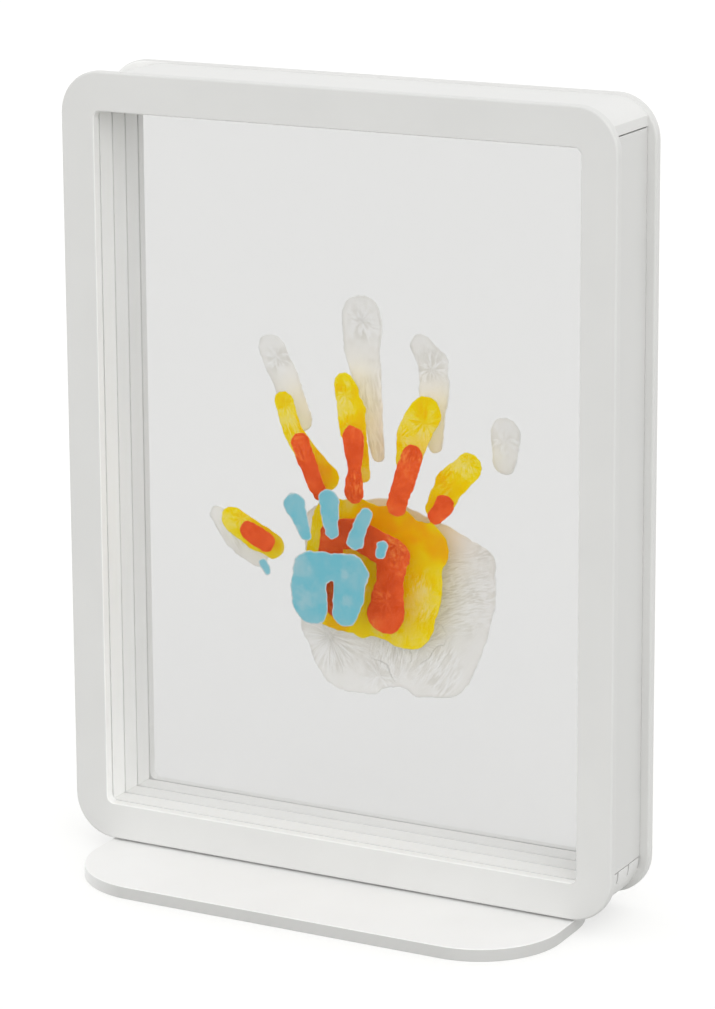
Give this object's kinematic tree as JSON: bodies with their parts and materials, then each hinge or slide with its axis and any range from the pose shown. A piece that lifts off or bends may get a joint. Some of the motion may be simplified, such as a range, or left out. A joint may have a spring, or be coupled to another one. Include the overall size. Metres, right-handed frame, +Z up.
{
  "type": "handprint frame",
  "caption": "Free-standing deep frame with a window front and back, clear sliding plates that each carry a painted handprint, a removable side cover and a flat foot.",
  "frame": {"origin": "centre of the base plate's underside, on the surface that the frame stands on", "axes": "+Z up, the front window faces -Y, and the side cover that opens faces +X"},
  "size_m": [0.25, 0.0886, 0.335],
  "materials": {
    "white_lacquer": "satin",
    "beech": "matte",
    "zinc_steel": "satin",
    "clear_acrylic": "gloss",
    "blue_paint": "satin",
    "red_paint": "satin",
    "yellow_paint": "satin",
    "white_paint": "satin"
  },
  "bodies": {
    "frame": {"base_plate": "white_lacquer", "bottom_rail": "white_lacquer", "left_rail": "white_lacquer", "top_rail": "white_lacquer", "front_bezel": "white_lacquer", "rear_bezel": "white_lacquer", "corner_dowels": "beech", "front_dowels": "beech", "rear_dowels": "beech", "base_screws": "zinc_steel"},
    "cover": {"side_cover": "white_lacquer"},
    "plate_1_set": {"plate_1": "clear_acrylic", "print_blue": "blue_paint"},
    "plate_2_set": {"plate_2": "clear_acrylic", "print_red": "red_paint"},
    "plate_3_set": {"plate_3": "clear_acrylic", "print_yellow": "yellow_paint"},
    "plate_4_set": {"plate_4": "clear_acrylic", "print_white": "white_paint"}
  },
  "joints": [
    {"name": "cover_slide", "type": "slide", "parent": "frame", "child": "cover", "axis": [1, 0, 0], "range_m": [0, 0.3]},
    {"name": "plate_1_slide", "type": "slide", "parent": "frame", "child": "plate_1_set", "axis": [1, 0, 0], "range_m": [0, 0.225]},
    {"name": "plate_2_slide", "type": "slide", "parent": "frame", "child": "plate_2_set", "axis": [1, 0, 0], "range_m": [0, 0.225]},
    {"name": "plate_3_slide", "type": "slide", "parent": "frame", "child": "plate_3_set", "axis": [1, 0, 0], "range_m": [0, 0.225]},
    {"name": "plate_4_slide", "type": "slide", "parent": "frame", "child": "plate_4_set", "axis": [1, 0, 0], "range_m": [0, 0.225]}
  ],
  "couplings": [
    {"joint": "plate_1_slide", "follows": "cover_slide", "ratio": 0.75},
    {"joint": "plate_2_slide", "follows": "cover_slide", "ratio": 0.75},
    {"joint": "plate_3_slide", "follows": "cover_slide", "ratio": 0.75},
    {"joint": "plate_4_slide", "follows": "cover_slide", "ratio": 0.75}
  ]
}
